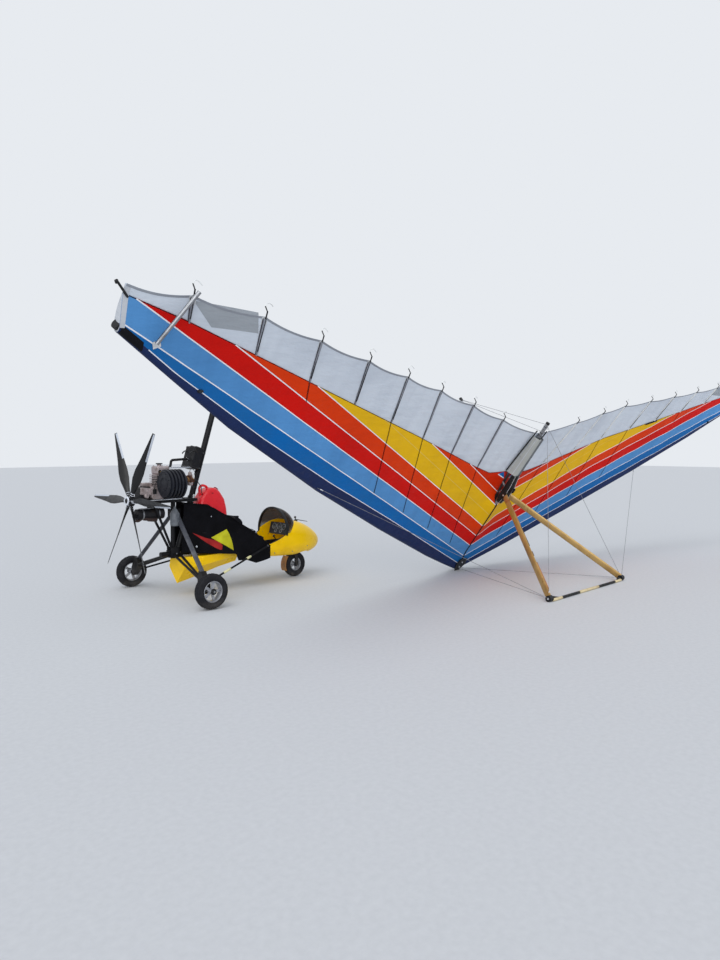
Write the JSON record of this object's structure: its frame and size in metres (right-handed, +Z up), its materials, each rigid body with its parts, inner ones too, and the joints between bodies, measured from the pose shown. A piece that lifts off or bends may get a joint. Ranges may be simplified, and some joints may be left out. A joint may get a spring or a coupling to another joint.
{
  "type": "weight-shift microlight aircraft",
  "caption": "Single-seat weight-shift microlight parked with its wing unhooked: three-wheeled trike with pusher propeller beside a striped delta wing standing on its nose.",
  "frame": {"origin": "middle of the whole outline on the ground", "axes": "+X the way the trike faces and the wing's span, +Y the trike's left, +Z up"},
  "size_m": [10.4812, 3.7202, 2.4998],
  "materials": {
    "black_frame": "satin black paint",
    "grey_leg": "satin grey paint",
    "plain_metal": "satin",
    "engine_silver": "as cast",
    "engine_dark": "dull",
    "wheel_silver": "cast and painted",
    "tyre_rubber": "matte",
    "black_plastic": "matte",
    "hose_rubber": "matte",
    "pod_yellow": "gloss",
    "tank_red": "moulded",
    "screen_clear": "clear",
    "black_cloth": "woven",
    "propeller_black": "moulded",
    "hub_metal": "machined",
    "cloth_navy": "woven sailcloth",
    "cloth_blue": "woven sailcloth",
    "cloth_sky": "woven sailcloth",
    "cloth_red": "woven sailcloth",
    "cloth_orange": "woven sailcloth",
    "cloth_yellow": "woven sailcloth",
    "cloth_white": "woven sailcloth",
    "cloth_grey": "woven sailcloth",
    "tube_gold": "worn gold",
    "bar_black": "satin",
    "stay_steel": "bright"
  },
  "bodies": {
    "root": {"keel_tube": "black_frame", "mast": "black_frame", "mast_hang_bracket": "plain_metal", "engine_rails": "black_frame", "engine_pylon": "black_frame", "rear_braces": "black_frame", "gear_legs": "grey_leg", "axle_struts": "black_frame", "drag_struts": "black_frame", "seat_frame": "black_frame", "seat": "black_cloth", "side_panels": "black_cloth", "fuel_tank": "tank_red", "pod_shell": "pod_yellow", "instrument_panel": "black_plastic", "windscreen": "screen_clear", "windscreen_frame": "black_plastic", "belly_fairing": "pod_yellow", "engine_crankcase": "engine_dark", "engine_cylinder": "engine_silver", "engine_head": "engine_silver", "gearbox": "engine_silver", "intake_drum": "black_plastic", "carburettor": "engine_silver", "radiator": "black_plastic", "coolant_hose": "hose_rubber", "muffler": "engine_dark", "sail_navy": "cloth_navy", "sail_blue": "cloth_blue", "sail_sky": "cloth_sky", "sail_red": "cloth_red", "sail_orange": "cloth_orange", "sail_yellow": "cloth_yellow", "sail_aft_red": "cloth_orange", "sail_upper_left": "cloth_white", "sail_upper_right": "cloth_white", "battens": "plain_metal", "tip_struts": "plain_metal", "tip_caps": "black_plastic", "wing_keel": "plain_metal", "nose_plate": "plain_metal", "keel_pocket": "cloth_grey", "apex_bracket": "black_plastic", "downtubes": "tube_gold", "base_bar": "bar_black", "corner_fittings": "black_plastic", "kingpost": "plain_metal", "lower_stays": "stay_steel", "upper_stays": "stay_steel"},
    "steering": {"front_fork": "black_frame", "foot_bar": "black_frame", "mudguard": "pod_yellow"},
    "front_wheel": {"front_tyre": "tyre_rubber", "front_rim": "wheel_silver"},
    "rear_wheel_left": {"rear_tyre_left": "tyre_rubber", "rear_rim_left": "wheel_silver"},
    "rear_wheel_right": {"rear_tyre_right": "tyre_rubber", "rear_rim_right": "wheel_silver"},
    "propeller": {"propeller_hub": "hub_metal", "propeller_blades": "propeller_black"}
  },
  "joints": [
    {"name": "steering_turn", "type": "hinge", "parent": "root", "child": "steering", "pos_m": [-1.708, 1.02, 0.44], "axis": [-0.1289, 0, 0.9917], "range_deg": [-28, 28]},
    {"name": "front_wheel_spin", "type": "hinge", "parent": "steering", "child": "front_wheel", "pos_m": [-1.666, 1.02, 0.148], "axis": [0, 1, 0], "continuous": true},
    {"name": "rear_wheel_left_spin", "type": "hinge", "parent": "root", "child": "rear_wheel_left", "pos_m": [-3.324, 1.7925, 0.17], "axis": [0, 1, 0], "continuous": true},
    {"name": "rear_wheel_right_spin", "type": "hinge", "parent": "root", "child": "rear_wheel_right", "pos_m": [-3.324, 0.2475, 0.17], "axis": [0, 1, 0], "continuous": true},
    {"name": "propeller_spin", "type": "hinge", "parent": "root", "child": "propeller", "pos_m": [-3.73, 1.02, 1.002], "axis": [0.9974, 0, -0.0715], "continuous": true}
  ]
}
